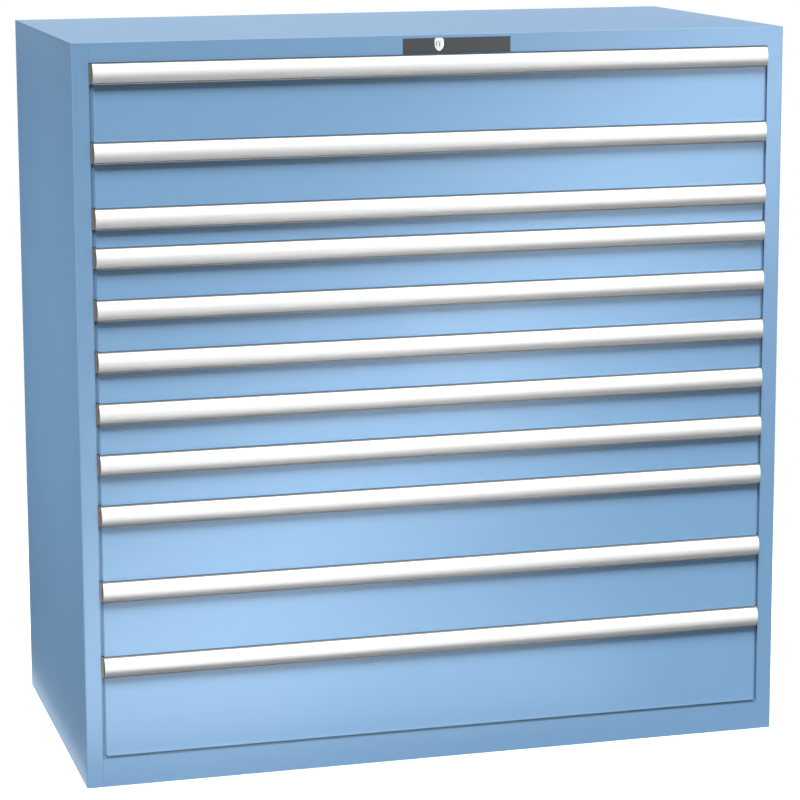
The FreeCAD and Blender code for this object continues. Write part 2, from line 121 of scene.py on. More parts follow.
def pick(piece, kind, test):
    # selects faces, edges or vertices whose middle passes the test
    bpy.ops.object.mode_set(mode="EDIT")
    bpy.ops.mesh.select_mode(type=kind)
    bpy.ops.mesh.select_all(action="DESELECT")
    bpy.ops.object.mode_set(mode="OBJECT")
    mesh = piece.data
    place = [v.co for v in mesh.vertices]
    if kind == "VERT":
        for v in mesh.vertices:
            v.select = test(v.co)
    elif kind == "EDGE":
        for e in mesh.edges:
            e.select = test((place[e.vertices[0]] + place[e.vertices[1]]) / 2)
    else:
        for f in mesh.polygons:
            f.select = test(f.center)
    bpy.ops.object.mode_set(mode="EDIT")


def modifier(piece, kind, **values):
    activate(piece)
    added = piece.modifiers.new(kind.lower(), kind)
    for key, value in values.items():
        setattr(added, key, value)
    bpy.ops.object.modifier_apply(modifier=added.name)


def outward(piece):
    editing(piece)
    bpy.ops.mesh.select_all(action="SELECT")
    bpy.ops.mesh.normals_make_consistent(inside=False)
    leaveEditing()


def softEdges(piece, width, segments=2, angle=35):
    modifier(piece, "BEVEL", width=width, segments=segments, limit_method="ANGLE",
             angle_limit=math.radians(angle), use_clamp_overlap=True)


def smooth(piece, angle=35):
    activate(piece)
    bpy.ops.object.shade_smooth_by_angle(angle=math.radians(angle))
    modifier(piece, "WEIGHTED_NORMAL", keep_sharp=True, weight=100)


def joinPieces(name, *pieces):
    clearSelection()
    for piece in pieces:
        piece.select_set(True)
    bpy.context.view_layer.objects.active = pieces[0]
    if len(pieces) > 1:
        bpy.ops.object.join()
    pieces[0].name = name
    pieces[0].data.name = name
    return pieces[0]


def duplicate(piece, name):
    activate(piece)
    bpy.ops.object.duplicate()
    copy = bpy.context.object
    copy.name = name
    copy.data.name = name
    return copy


def moved(piece, name, offset):
    # a copy with its own mesh, whose place is in that mesh
    copy = duplicate(piece, name)
    bpy.ops.transform.translate(value=offset)
    return applyPlace(copy)


def flip(piece):
    # brings a piece to the other side of the cabinet's middle
    activate(piece)
    bpy.ops.transform.resize(value=(-1, 1, 1), center_override=(0, 0, 0))
    applyPlace(piece)
    outward(piece)
    return piece


def mirroredCopy(piece, name):
    return flip(duplicate(piece, name))


def startEdge(name, middle, length, axis):
    # one straight edge along an axis, made from a plane
    turn = {"X": (0, 0, 0), "Y": (0, 0, math.pi / 2), "Z": (0, math.pi / 2, 0)}[axis]
    clearSelection()
    bpy.ops.mesh.primitive_plane_add(size=length, location=(0, 0, 0), rotation=turn)
    piece = bpy.context.object
    piece.name = name
    side = {"X": Vector((0, 1, 0)), "Y": Vector((1, 0, 0)), "Z": Vector((0, 1, 0))}[axis]
    applyPlace(piece)
    pick(piece, "VERT", lambda place: place.dot(side) > 0)
    bpy.ops.mesh.delete(type="VERT")
    bpy.ops.mesh.select_all(action="SELECT")
    bpy.ops.transform.translate(value=Vector(middle) + side * length / 2)
    return piece


def foldedSheet(name, middle, length, axis, steps, thickness, bend, side=1, segments=3):
    # a sheet drawn out from an edge step by step, bent at its folds, then given its thickness
    piece = startEdge(name, middle, length, axis)
    for step in steps:
        bpy.ops.mesh.extrude_region_move(TRANSFORM_OT_translate={"value": step})
    leaveEditing()
    modifier(piece, "BEVEL", width=bend, segments=segments, limit_method="ANGLE",
             angle_limit=math.radians(4), use_clamp_overlap=True, loop_slide=False)
    modifier(piece, "SOLIDIFY", thickness=thickness, offset=side, use_even_offset=True)
    outward(piece)
    return piece


def block(name, low, high, rim=0.3 * mm, segments=2):
    # a small solid between two corners, with a softened rim
    low, high = Vector(low), Vector(high)
    clearSelection()
    bpy.ops.mesh.primitive_cube_add(size=1, location=(low + high) / 2, scale=high - low)
    piece = bpy.context.object
    piece.name = name
    applyPlace(piece)
    softEdges(piece, rim, segments)
    return piece


def turned(name, centre, axis, rings, sides=32):
    # a turned piece: rings of (distance along the axis, radius), drawn from a first circle
    turn = {"X": (0, math.pi / 2, 0), "Y": (math.pi / 2, 0, 0), "Z": (0, 0, 0)}[axis]
    along = {"X": Vector((1, 0, 0)), "Y": Vector((0, -1, 0)), "Z": Vector((0, 0, 1))}[axis]
    clearSelection()
    first = Vector(centre) + along * rings[0][0]
    bpy.ops.mesh.primitive_circle_add(vertices=sides, radius=rings[0][1], location=first, rotation=turn,
                                      fill_type="NGON")
    piece = bpy.context.object
    piece.name = name
    applyPlace(piece)
    editing(piece)
    bpy.ops.mesh.select_all(action="SELECT")
    place, radius = rings[0]
    for nextPlace, nextRadius in rings[1:]:
        shift = along * (nextPlace - place)
        bpy.ops.mesh.extrude_region_move(TRANSFORM_OT_translate={"value": shift})
        if nextRadius != radius:
            share = nextRadius / radius
            middle = Vector(centre) + along * nextPlace
            bpy.ops.transform.resize(value=(share, share, share), center_override=middle)
        place, radius = nextPlace, nextRadius
    leaveEditing()
    outward(piece)
    return piece


# Materials

def newGroup(name, inputs, outputs):
    group = bpy.data.node_groups.new(name, "ShaderNodeTree")
    for label, kind, value in inputs:
        socket = group.interface.new_socket(label, in_out="INPUT", socket_type=kind)
        socket.default_value = value
    for label, kind in outputs:
        group.interface.new_socket(label, in_out="OUTPUT", socket_type=kind)
    return group, group.nodes.new("NodeGroupInput"), group.nodes.new("NodeGroupOutput")


def place(tree, kind, **values):
    node = tree.nodes.new(kind)
    for key, value in values.items():
        if key in node.inputs:
            node.inputs[key].default_value = value
        else:
            setattr(node, key, value)
    return node


def vary(group, noise, amount, given, out):
    # lightens and darkens the colour with the noise, and returns the factor that does it
    link = group.links.new
    swing = place(group, "ShaderNodeMapRange",
                  **{"From Min": 0.3, "From Max": 0.7, "To Min": -1.0, "To Max": 1.0})
    link(noise.outputs["Fac"], swing.inputs["Value"])
    change = place(group, "ShaderNodeMath", operation="MULTIPLY_ADD")
    link(swing.outputs["Result"], change.inputs[0])
    link(amount, change.inputs[1])
    change.inputs[2].default_value = 1.0
    shade = place(group, "ShaderNodeHueSaturation")
    link(given.outputs["Colour"], shade.inputs["Color"])
    link(change.outputs["Value"], shade.inputs["Value"])
    link(shade.outputs["Color"], out.inputs["Colour"])
    return change


def roughen(group, noise, amount, distance, out):
    bump = place(group, "ShaderNodeBump", Distance=distance)
    group.links.new(amount, bump.inputs["Strength"])
    group.links.new(noise.outputs["Fac"], bump.inputs["Height"])
    group.links.new(bump.outputs["Normal"], out.inputs["Normal"])


def buildCoatGroup():
    # powder coat: faint clouding of the colour, fine orange peel, uneven sheen
    group, given, out = newGroup(
        "powderCoat",
        [("Colour", "NodeSocketColor", (0.5, 0.5, 0.5, 1)), ("Sheen", "NodeSocketFloat", 0.4),
         ("Peel", "NodeSocketFloat", 0.02), ("Clouding", "NodeSocketFloat", 0.04)],
        [("Colour", "NodeSocketColor"), ("Roughness", "NodeSocketFloat"), ("Normal", "NodeSocketVector")])
    link = group.links.new
    where = group.nodes.new("ShaderNodeTexCoord")
    peel = place(group, "ShaderNodeTexNoise", Scale=900.0, Detail=2.0, Roughness=0.5)
    cloud = place(group, "ShaderNodeTexNoise", Scale=5.0, Detail=3.0, Roughness=0.55)
    dust = place(group, "ShaderNodeTexNoise", Scale=2600.0, Detail=1.0)
    for texture in (peel, cloud, dust):
        link(where.outputs["Object"], texture.inputs["Vector"])
    vary(group, cloud, given.outputs["Clouding"], given, out)
    rough = place(group, "ShaderNodeMath", operation="MULTIPLY_ADD")
    link(dust.outputs["Fac"], rough.inputs[0])
    rough.inputs[1].default_value = 0.06
    link(given.outputs["Sheen"], rough.inputs[2])
    link(rough.outputs["Value"], out.inputs["Roughness"])
    roughen(group, peel, given.outputs["Peel"], 0.4 * mm, out)
    return group


def buildGrainGroup():
    # drawn metal or moulded plastic: grain stretched along one direction, with fine pits
    group, given, out = newGroup(
        "surfaceGrain",
        [("Colour", "NodeSocketColor", (0.5, 0.5, 0.5, 1)), ("Roughness", "NodeSocketFloat", 0.4),
         ("Stretch", "NodeSocketVector", (1, 1, 1)), ("Grain", "NodeSocketFloat", 0.1),
         ("Depth", "NodeSocketFloat", 0.05)],
        [("Colour", "NodeSocketColor"), ("Roughness", "NodeSocketFloat"), ("Normal", "NodeSocketVector")])
    link = group.links.new
    where = group.nodes.new("ShaderNodeTexCoord")
    scaled = place(group, "ShaderNodeVectorMath", operation="MULTIPLY")
    link(where.outputs["Object"], scaled.inputs[0])
    link(given.outputs["Stretch"], scaled.inputs[1])
    lines = place(group, "ShaderNodeTexNoise", Scale=700.0, Detail=3.0, Roughness=0.6)
    link(scaled.outputs["Vector"], lines.inputs["Vector"])
    change = vary(group, lines, given.outputs["Grain"], given, out)
    rough = place(group, "ShaderNodeMath", operation="MULTIPLY")
    link(given.outputs["Roughness"], rough.inputs[0])
    link(change.outputs["Value"], rough.inputs[1])
    link(rough.outputs["Value"], out.inputs["Roughness"])
    roughen(group, lines, given.outputs["Depth"], 0.2 * mm, out)
    return group


coatGroup = buildCoatGroup()
grainGroup = buildGrainGroup()


def finishWith(name, group, shader, **values):
    # a material whose colour, roughness and bump come from a group, its constants set on the shader
    material = bpy.data.materials.new(name)
    material.use_nodes = True
    tree = material.node_tree
    surface = tree.nodes["Principled BSDF"]
    pattern = tree.nodes.new("ShaderNodeGroup")
    pattern.node_tree = group
    for key, value in values.items():
        pattern.inputs[key].default_value = value
    for key, value in shader.items():
        surface.inputs[key].default_value = value
    for made, taken in (("Colour", "Base Color"), ("Roughness", "Roughness"), ("Normal", "Normal")):
        tree.links.new(pattern.outputs[made], surface.inputs[taken])
    return material


def tone(red, green, blue):
    # linear colour from the 0-255 values of the finish
    def linear(value):
        value = value / 255
        return value / 12.92 if value <= 0.04045 else ((value + 0.055) / 1.055) ** 2.4
    return (linear(red), linear(green), linear(blue), 1)


housingPaint = finishWith("housingPaint", coatGroup, {"Specular IOR Level": 0.22},
                          Colour=tone(119, 159, 197), Sheen=0.42, Peel=0.03, Clouding=0.012)
# a darker blue than the fronts, which paints the shade in the gaps beside and below the fronts
shadedGapPaint = finishWith("shadedGapPaint", coatGroup, {"Specular IOR Level": 0.2},
                      Colour=tone(106, 140, 170), Sheen=0.5, Peel=0.03, Clouding=0.012)
frontPaint = finishWith("frontPaint", coatGroup, {"Specular IOR Level": 0.18},
                        Colour=tone(125, 167, 206), Sheen=0.4, Peel=0.03, Clouding=0.012)
trayPaint = finishWith("trayPaint", coatGroup, {"Specular IOR Level": 0.4},
                       Colour=tone(168, 171, 171), Sheen=0.45, Peel=0.03, Clouding=0.02)
zincSteel = finishWith("zincSteel", grainGroup, {"Metallic": 1.0},
                       Colour=(0.60, 0.61, 0.62, 1), Roughness=0.34, Stretch=(1, 0.05, 1), Grain=0.12,
                       Depth=0.12)
rollerSteel = finishWith("rollerSteel", grainGroup, {"Metallic": 1.0},
                         Colour=(0.42, 0.42, 0.43, 1), Roughness=0.22, Stretch=(0.1, 1, 1), Grain=0.08,
                         Depth=0.05)
labelStrip = finishWith("labelStrip", coatGroup, {"Specular IOR Level": 0.2},
                        Colour=tone(240, 240, 240), Sheen=0.4, Peel=0.008, Clouding=0.004)
profileGrey = finishWith("profileGrey", grainGroup, {"Metallic": 0.3},
                         Colour=tone(96, 95, 91), Roughness=0.45, Stretch=(0.03, 1, 1), Grain=0.06,
                         Depth=0.05)
capPlastic = finishWith("capPlastic", grainGroup, {"Specular IOR Level": 0.4},
                        Colour=tone(112, 105, 99), Roughness=0.5, Stretch=(1, 1, 1), Grain=0.05,
                        Depth=0.15)
coverPlastic = finishWith("coverPlastic", grainGroup, {"Specular IOR Level": 0.15},
                          Colour=tone(62, 63, 65), Roughness=0.5, Stretch=(1, 1, 1), Grain=0.06,
                          Depth=0.2)
shieldMetal = finishWith("shieldMetal", grainGroup, {"Metallic": 1.0},
                         Colour=(0.6, 0.6, 0.59, 1), Roughness=0.3, Stretch=(1, 1, 0.1), Grain=0.03,
                         Depth=0.02)
plugMetal = finishWith("plugMetal", grainGroup, {"Metallic": 1.0},
                       Colour=(0.55, 0.55, 0.54, 1), Roughness=0.3, Stretch=(1, 1, 1), Grain=0.04,
                       Depth=0.03)
print("materials made")


def paint(piece, material):
    piece.data.materials.clear()
    piece.data.materials.append(material)
    smooth(piece)
    return piece


def carry(piece, body, node=None):
    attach(piece, body)
    if node:
        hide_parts(node)
    return piece


def dress(piece, material, body, node=None):
    paint(piece, material)
    return carry(piece, body, node)


# Housing: the frame's own sheets with softened bends

housing = {
    "bend": 0.7 * mm, "segments": 2, "corner": 2.2 * mm, "cornerSegments": 4, "angle": 40,
    "flat": math.radians(1), "sillGap": 6.5 * mm, "strip": 1.4 * mm, "stripDrop": 0.15 * mm,
    "play": 0.5 * mm,
}


def softenedCopy(node, name, width, segments=2, corner=0):
    # a copy of the frame's node with soft edges, and a wider bend along its upright front corner
    h = housing
    piece = duplicate(nodes[node], name)
    piece.parent = None
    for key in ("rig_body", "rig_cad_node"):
        del piece[key]
    editing(piece)
    bpy.ops.mesh.select_all(action="SELECT")
    bpy.ops.mesh.remove_doubles(threshold=touching)
    bpy.ops.mesh.customdata_custom_splitnormals_clear()
    bpy.ops.mesh.dissolve_limited(angle_limit=h["flat"])
    bpy.ops.mesh.normals_make_consistent(inside=False)
    leaveEditing()
    if corner:
        pick(piece, "EDGE", lambda p: (abs(abs(p.x) - frameHalf) < 10 * touching
                                       and p.y < housingFront + 10 * touching))
        bpy.ops.mesh.bevel(offset=corner, segments=h["cornerSegments"], affect="EDGES")
        leaveEditing()
    softEdges(piece, width, segments, h["angle"])
    return piece


for node, name in (("side_panel_left", "sideLeft"), ("side_panel_right", "sideRight"),
                   ("top_panel", "topPlate"), ("base_panel", "basePlate"), ("back_panel", "backPlate")):
    corner = housing["corner"] if node.startswith("side") else 0
    sheet = softenedCopy(node, name, housing["bend"], housing["segments"], corner)
    dress(sheet, housingPaint, "housing", node)


def buildSillStrip():
    # the dark line between the lowest front and the sill: a strip in the darker blue, as painted shade in the
    # gap
    h = housing
    half = openingHalf - h["play"]
    return block("sillStrip",
                 (-half, housingFront + h["stripDrop"], lastFoot - h["sillGap"] - h["play"]),
                 (half, housingFront + h["strip"], lastFoot - h["play"]))


dress(buildSillStrip(), shadedGapPaint, "housing")
print("housing made")

# Handle strip: one profile for all drawers

handle = {
    "topReach": 7 * mm, "bulge": 16 * mm, "bulgeDrop": 18 * mm, "footReach": 7 * mm,
    "height": 39.5 * mm, "label": 1.2 * mm, "wall": 1.8 * mm, "lip": 1.8 * mm, "sides": 120,
    "topLip": 1.4 * mm, "lipEdge": 0.25 * mm, "setBack": 1.5 * mm, "shelfDrop": 34 * mm, "cap": capWidth,
    "rim": 0.35 * mm, "lug": 6.5 * mm, "lugDrop": 0.8 * mm, "overlap": 0.1 * mm,
    "labelDrop": 0.15 * mm, "labelPlay": 0.25 * mm, "labelEdge": 0.2 * mm,
}


def circleThrough(a, b, c):
    # centre and radius of the circle through three points in Y and Z
    d = 2 * (a[0] * (b[1] - c[1]) + b[0] * (c[1] - a[1]) + c[0] * (a[1] - b[1]))
    sa, sb, sc = (p[0] ** 2 + p[1] ** 2 for p in (a, b, c))
    y = (sa * (b[1] - c[1]) + sb * (c[1] - a[1]) + sc * (a[1] - b[1])) / d
    z = (sa * (c[0] - b[0]) + sb * (a[0] - c[0]) + sc * (b[0] - a[0])) / d
    return y, z, math.hypot(a[0] - y, a[1] - z)


handleTop = frontHigh.z
bowY, bowZ, bowRadius = circleThrough(
    (housingFront - handle["topReach"], handleTop),
    (housingFront - handle["bulge"], handleTop - handle["bulgeDrop"]),
    (housingFront - handle["footReach"], handleTop - handle["height"]))


def bowed(name, radius, half, low, high, capped=False):
    # part of a cylinder about the handle's axis, from one height to another, on its front side
    clearSelection()
    bpy.ops.mesh.primitive_cylinder_add(vertices=handle["sides"], radius=radius, depth=2 * half,
                                        location=(0, bowY, bowZ), rotation=(0, math.pi / 2, 0),
                                        end_fill_type="NGON" if capped else "NOTHING")
    piece = bpy.context.object
    piece.name = name
    applyPlace(piece)
    for spot, normal in (((0, 0, high), (0, 0, 1)), ((0, 0, low), (0, 0, -1)), ((0, bowY, 0), (0, 1, 0))):
        editing(piece)
        bpy.ops.mesh.select_all(action="SELECT")
        bpy.ops.mesh.bisect(plane_co=spot, plane_no=normal, clear_outer=True, use_fill=capped)
        leaveEditing()
    return piece


def buildProfile():
    h = handle
    low = handleTop - h["height"]
    seat = bowRadius - h["label"]
    back = trayFront - h["setBack"]
    wall = bowed("handleProfile", seat, frontHalf, low, handleTop)
    pick(wall, "EDGE", lambda p: p.z > handleTop - touching)
    reach = housingFront - h["topReach"]
    bpy.ops.mesh.extrude_region_move(TRANSFORM_OT_translate={"value": (0, back - reach, 0)})
    leaveEditing()
    pick(wall, "VERT", lambda p: p.z > handleTop - touching and p.y > housingFront)
    bpy.ops.transform.resize(value=(1, 0, 1), center_override=(0, back, handleTop))
    bpy.ops.mesh.select_mode(type="EDGE")
    bpy.ops.mesh.extrude_region_move(TRANSFORM_OT_translate={"value": (0, 0, -h["shelfDrop"])})
    leaveEditing()
    outward(wall)
    modifier(wall, "SOLIDIFY", thickness=h["wall"], offset=-1, use_even_offset=True)
    outward(wall)
    lips = []
    for lipLow, lipHigh in ((handleTop - h["topLip"], handleTop), (low, low + h["lip"])):
        lip = bowed("lip", bowRadius, frontHalf, lipLow, lipHigh)
        outward(lip)
        modifier(lip, "SOLIDIFY", thickness=h["label"] + h["overlap"], offset=-1, use_even_offset=True)
        outward(lip)
        softEdges(lip, h["lipEdge"], 2)
        lips.append(lip)
    return joinPieces("handleProfile", wall, *lips)


def buildLabel():
    h = handle
    low = handleTop - h["height"] + h["lip"]
    strip = bowed("handleLabel", bowRadius - h["labelDrop"], frontHalf + h["cap"] - h["labelEdge"], low,
                  handleTop - h["topLip"])
    outward(strip)
    modifier(strip, "SOLIDIFY", thickness=h["label"] - h["labelPlay"], offset=-1, use_even_offset=True)
    outward(strip)
    softEdges(strip, h["labelEdge"], 1, 60)
    return strip


def buildCaps():
    h = handle
    low = handleTop - h["height"]
    back = trayFront - h["setBack"]
    cap = bowed("handleCap", bowRadius - h["label"], h["cap"] / 2, low, handleTop, True)
    pick(cap, "VERT", lambda p: p.y > bowY - touching)
    bpy.ops.transform.translate(value=(0, back - bowY, 0))
    leaveEditing()
    outward(cap)
    softEdges(cap, h["rim"], 2, 40)
    right = moved(cap, "capRight", (frontHalf + h["cap"] / 2, 0, 0))
    bpy.data.objects.remove(cap)
    lug = block("capLug", (frontHalf + h["cap"] / 2, housingFront + h["lugDrop"], low),
                (frontHalf + h["lug"], housingFront + h["lugDrop"] + h["cap"], handleTop))
    right = joinPieces("capRight", right, lug)
    left = mirroredCopy(right, "capLeft")
    return joinPieces("handleCaps", right, left)


profileModel = buildProfile()
labelModel = buildLabel()
capsModel = buildCaps()
print("handle modelled")

# Drawer front

front = {
    "sheet": 1.5 * mm, "bend": 5 * mm, "fold": 0.9 * mm, "lip": 8 * mm, "flare": 0.8 * mm,
    "flange": 6.6 * mm, "recess": 6 * mm, "edge": 0.3 * mm, "bendSteps": 6, "returnBend": 0.8 * mm,
}


def buildFront(height):
    # the height is that of the drawer's front itself; its top lies level with the first drawer's
    f = front
    top = frontHigh.z
    low = top - height
    shelf = top - handle["shelfDrop"]
    depth = trayFront - housingFront
    piece = startEdge("drawerFront", (0, trayFront - f["sheet"], top), 2 * frontHalf, "X")
    steps = [
        (0, 0, shelf - top),
        (0, -(depth - f["sheet"] - f["bend"]), 0),
    ]
    for part in range(f["bendSteps"]):
        a = math.pi / 2 * part / f["bendSteps"]
        b = math.pi / 2 * (part + 1) / f["bendSteps"]
        steps.append((0, f["bend"] * (math.sin(a) - math.sin(b)), f["bend"] * (math.cos(b) - math.cos(a))))
    steps += [
        (0, 0, low + f["lip"] - (shelf - f["bend"])),
        (0, -f["flare"], -f["lip"]),
        (0, depth + f["flare"], 0),
    ]
    for step in steps:
        bpy.ops.mesh.extrude_region_move(TRANSFORM_OT_translate={"value": step})
    leaveEditing()
    modifier(piece, "BEVEL", width=f["fold"], segments=3, limit_method="ANGLE",
             angle_limit=math.radians(50), use_clamp_overlap=True)
    modifier(piece, "SOLIDIFY", thickness=f["sheet"], offset=-1, use_even_offset=True)
    outward(piece)
    softEdges(piece, f["edge"], 2, 50)
    returnHeight = shelf - low - 2 * f["sheet"]
    side = foldedSheet("sideReturn", (frontHalf, housingFront + f["sheet"], (low + shelf) / 2), returnHeight,
                       "Z", [(0, depth - f["sheet"], 0)], f["sheet"], f["returnBend"], 1)
    return joinPieces("drawerFront", piece, side, mirroredCopy(side, "otherReturn"))


def buildFlanges(height):
    # strips at both sides of the front, which close the gaps to the posts; their darker blue is painted shade
    # in the gaps
    f = front
    top = frontHigh.z
    place = housingFront + f["recess"]
    right = block("frontFlange", (frontHalf - f["edge"], place, top - height),
                  (frontHalf + f["flange"], place + f["sheet"], top - handle["height"] - frontGap))
    return joinPieces("frontFlanges", right, mirroredCopy(right, "otherFlange"))


frontModels, flangeModels = {}, {}
for number in drawers:
    low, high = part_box("drawer_front_" + number)
    height = round(high.z - low.z, 5)
    if height not in frontModels:
        frontModels[height] = buildFront(height)
        flangeModels[height] = buildFlanges(height)
print("fronts modelled:", len(frontModels), "heights")

# Trays

tray = {
    "sheet": 1.5 * mm, "pitch": 17 * mm, "slot": 3 * mm, "slotFoot": 12 * mm, "slotHead": 9 * mm,
    "lip": 6 * mm, "lipTurn": 2.5 * mm, "lipShare": 0.8, "lipBend": 0.8 * mm, "floorEdge": 0.5 * mm,
    "below": 18 * mm, "above": 7 * mm, "across": 78, "deep": 36, "weld": 0.1 * mm,
}
trayInsideHalf = tray["across"] * tray["pitch"] / 2
trayDepth = tray["deep"] * tray["pitch"] + 2 * tray["sheet"]


def slottedWall(name, count, height, thickness):
    # a wall along X from the origin, one slot to each module
    t = tray
    clearSelection()
    bpy.ops.mesh.primitive_plane_add(size=1, location=(t["pitch"] / 2, 0, height / 2),
                                     rotation=(math.pi / 2, 0, 0))
    cell = bpy.context.object
    cell.name = name
    bpy.ops.transform.resize(value=(t["pitch"], 1, height))
    applyPlace(cell)
    cuts = [((t["pitch"] / 2 + s * t["slot"] / 2, 0, 0), (1, 0, 0)) for s in (-1, 1)]
    cuts += [((0, 0, t["slotFoot"]), (0, 0, 1)), ((0, 0, height - t["slotHead"]), (0, 0, 1))]
    for spot, normal in cuts:
        editing(cell)
        bpy.ops.mesh.select_all(action="SELECT")
        bpy.ops.mesh.bisect(plane_co=spot, plane_no=normal)
        leaveEditing()

    def inSlot(p):
        return abs(p.x - t["pitch"] / 2) < t["slot"] / 2 and t["slotFoot"] < p.z < height - t["slotHead"]
    pick(cell, "FACE", inSlot)
    bpy.ops.mesh.delete(type="FACE")
    leaveEditing()
    modifier(cell, "ARRAY", count=count, use_relative_offset=False, use_constant_offset=True,
             constant_offset_displace=(t["pitch"], 0, 0), use_merge_vertices=True, merge_threshold=t["weld"])
    modifier(cell, "SOLIDIFY", thickness=thickness, offset=0)
    outward(cell)
    return cell


def buildTray(height):
    # the height is the front's; the tray lies as in the first drawer
    t = tray
    top = frontHigh.z + frontGap - t["below"]
    low = frontHigh.z - height - frontGap + t["above"]
    wallHeight = top - low
    outer = trayInsideHalf + t["sheet"]
    middleY = trayFront + trayDepth / 2
    floor = block("trayFloor", (-outer, trayFront, low), (outer, trayFront + trayDepth, low + t["sheet"]),
                  t["floorEdge"])
    frontWall = slottedWall("wall", t["across"], wallHeight - t["sheet"], t["sheet"])
    activate(frontWall)
    bpy.ops.transform.translate(value=(-trayInsideHalf, trayFront + t["sheet"] / 2, low + t["sheet"]))
    applyPlace(frontWall)
    backWall = moved(frontWall, "backWall", (0, trayDepth - t["sheet"], 0))
    sideWall = slottedWall("sideWall", t["deep"], wallHeight - t["sheet"], t["sheet"])
    activate(sideWall)
    bpy.ops.transform.rotate(value=-math.pi / 2, orient_axis="Z", center_override=(0, 0, 0))
    applyPlace(sideWall)
    lowY = min(v.co.y for v in sideWall.data.vertices)
    activate(sideWall)
    bpy.ops.transform.translate(value=(outer - t["sheet"] / 2, trayFront + t["sheet"] - lowY,
                                       low + t["sheet"]))
    applyPlace(sideWall)
    lip = foldedSheet("lip", (outer - t["sheet"], middleY, top), trayDepth, "Y",
                      [(t["sheet"] + t["lip"], 0, 0), (0, 0, -t["lipTurn"])], t["sheet"] * t["lipShare"],
                      t["lipBend"], 1)
    other = mirroredCopy(sideWall, "otherWall")
    otherLip = mirroredCopy(lip, "otherLip")
    return joinPieces("tray", floor, frontWall, backWall, sideWall, other, lip, otherLip)


trayModels = {}
for height in frontModels:
    trayModels[height] = buildTray(height)
print("trays modelled")

# Runners: rails and rollers on the right side of the first drawer, then mirrored

runner = {
    "sheet": 1.5 * mm, "clear": 32 * mm, "drawerDepth": 8 * mm, "cabinetDepth": 9.5 * mm,
    "lift": 26 * mm, "bend": 1.9 * mm, "inset": 17 * mm, "play": 0.3 * mm, "sidePlay": 0.8 * mm,
    "middleHeight": 26 * mm, "middleDepth": 14 * mm, "middleFlange": 2 * mm, "middleBend": 1.6 * mm,
    "web": 2.5 * mm, "webEdge": 0.2 * mm, "drawerStart": 24 * mm, "cabinetStart": 44 * mm,
    "cabinetLength": 646 * mm, "pinRoom": 0.4 * mm, "discRoom": 1.2 * mm,
}
# the catch for the lock's hook: places from the housing's front and from the rail's middle line
catch = {
    "start": 59 * mm, "end": 71 * mm, "low": 19 * mm, "high": 28 * mm, "reach": 16.5 * mm, "edge": 0.4 * mm,
}
roller = {"rim": 0.8 * mm, "rimShare": 0.3, "recess": 0.6 * mm, "hub": 0.2 * mm, "pin": 0.4 * mm, "sides": 36}
firstBase = frontLow.z - frontGap
railZ = firstBase + runner["lift"]
drawerWeb = trayInsideHalf + tray["sheet"]
middleOuter = runnerHigh.x
middleInner = middleOuter - runner["middleDepth"]
webMiddle = (middleOuter + middleInner) / 2


def channelRail(name, web, mouth, start, end):
    r = runner
    half = r["clear"] / 2 + r["sheet"]
    reach = mouth - web
    side = -1 if reach > 0 else 1
    return foldedSheet(name, (mouth, (start + end) / 2, railZ - half), end - start, "Y",
                       [(-reach, 0, 0), (0, 0, 2 * half), (reach, 0, 0)], r["sheet"], r["bend"], side)


def rollerOn(name, x0, x1, y, radius):
    # a ball-bearing roller on its pin: tyre with rounded rims, recessed face, pin head
    width = x1 - x0
    rim = roller["rim"]
    part = rim * roller["rimShare"]
    face = width - roller["recess"]
    return turned(name, (x0, y, railZ), "X", [
        (0, radius - rim), (part, radius - part), (rim, radius), (width - rim, radius),
        (width - part, radius - part), (width, radius - rim), (width, radius * 0.62), (face, radius * 0.6),
        (face, radius * 0.34), (width + roller["hub"], radius * 0.3), (width + roller["pin"], radius * 0.2),
    ], roller["sides"])


def buildDrawerRail():
    r = runner
    start = housingFront + r["drawerStart"]
    end = trayFront + trayDepth
    rail = channelRail("drawerRail", drawerWeb, drawerWeb + r["drawerDepth"], start, end)
    radius = r["middleHeight"] / 2 - r["middleFlange"] - r["play"]
    x0 = drawerWeb + r["sheet"]
    tyre = rollerOn("drawerRoller", x0, webMiddle - r["web"] / 2 - r["sidePlay"] - r["pinRoom"],
                    end - r["inset"], radius)
    return rail, tyre


def buildMiddleRail():
    # two channels back to back make the middle rail's I
    r = runner
    start, end = runnerLow.y, runnerHigh.y
    half = r["middleHeight"] / 2
    pieces = []
    room = 2 * r["inset"]
    for mouth, y0, y1 in ((middleOuter, start, end - room), (middleInner, start + room, end)):
        toWeb = webMiddle - mouth
        side = -1 if toWeb < 0 else 1
        pieces.append(foldedSheet("middleHalf", (mouth, (y0 + y1) / 2, railZ - half), y1 - y0, "Y",
                                  [(toWeb, 0, 0), (0, 0, 2 * half), (-toWeb, 0, 0)], r["web"] / 2,
                                  r["middleBend"], side))
    for y0, y1, side in ((start, start + room, -1), (end - room, end, 1)):
        x0, x1 = (webMiddle - r["web"] / 2, webMiddle) if side < 0 else (webMiddle, webMiddle + r["web"] / 2)
        pieces.append(block("webEnd", (x0, y0, railZ - half), (x1, y1, railZ + half), r["webEdge"]))
    radius = r["clear"] / 2 - r["play"]
    frontRoller = flip(rollerOn("frontRoller", -(webMiddle - r["web"] / 2),
                                -(drawerWeb + r["sheet"] + r["discRoom"]), start + r["inset"], radius))
    rearRoller = rollerOn("rearRoller", webMiddle + r["web"] / 2, cabinetWeb - r["sheet"] - r["discRoom"],
                          end - r["inset"], radius)
    return pieces, [frontRoller, rearRoller]


